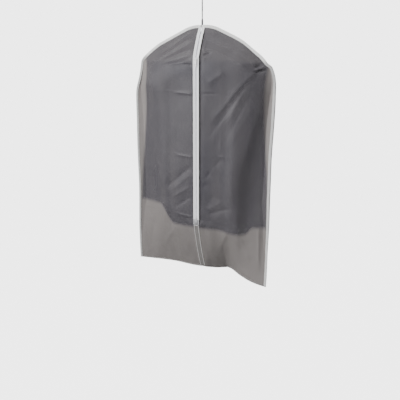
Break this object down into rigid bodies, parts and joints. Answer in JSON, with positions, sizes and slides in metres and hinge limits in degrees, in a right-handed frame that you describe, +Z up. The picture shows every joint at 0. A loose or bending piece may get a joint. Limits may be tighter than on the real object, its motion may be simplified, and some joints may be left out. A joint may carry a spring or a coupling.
{
  "type": "garment bag",
  "caption": "Hanging garment bag of translucent film with bound edges and a front zip, on a suit hanger with a swivel hook.",
  "frame": {"origin": "the point inside the hook that rests on the top of a rail", "axes": "+Z up along the hook's stem, -Y out of the zipped front, +X to the right seen from the front"},
  "size_m": [0.6, 0.1199, 1.0934],
  "materials": {
    "film": "satin frosted translucent",
    "film_folded": "satin, film in several layers",
    "binding": "woven tape, sewn",
    "zip_tape": "woven tape",
    "zip_coil": "satin",
    "zip_stop": "painted",
    "zip_slider": "satin",
    "hanger": "satin",
    "steel": "polished wire",
    "sleeve": "satin"
  },
  "bodies": {
    "hook": {"hook": "steel", "hook_sleeve": "sleeve"},
    "bag": {"front_panel_left": "film", "front_panel_right": "film", "back_panel": "film", "centre_seam_strip": "film_folded", "zip_end_patch": "film_folded", "edge_binding_left": "binding", "edge_binding_right": "binding", "bottom_hem": "film_folded", "zip_tape_left": "zip_tape", "zip_tape_right": "zip_tape", "zip_facing_left": "binding", "zip_facing_right": "binding", "zip_coil_left": "zip_coil", "zip_coil_right": "zip_coil", "zip_top_stops": "zip_stop", "zip_bottom_stop": "zip_stop", "hanger_arm_left": "hanger", "hanger_arm_right": "hanger", "hanger_ferrule": "steel"},
    "slider": {"zip_slider": "zip_slider"},
    "pull_tab": {"zip_pull_tab": "zip_slider"}
  },
  "joints": [
    {"name": "hook_swivel", "type": "hinge", "parent": "hook", "child": "bag", "pos_m": [0, 0, -0.141], "axis": [0, 0, 1], "continuous": true},
    {"name": "zip_slide", "type": "slide", "parent": "bag", "child": "slider", "axis": [0, 0, -1], "range_m": [0, 0.62]},
    {"name": "pull_tab_hinge", "type": "hinge", "parent": "slider", "child": "pull_tab", "pos_m": [0, -0.068, -0.2185], "axis": [1, 0, 0], "range_deg": [-170, 0]}
  ]
}
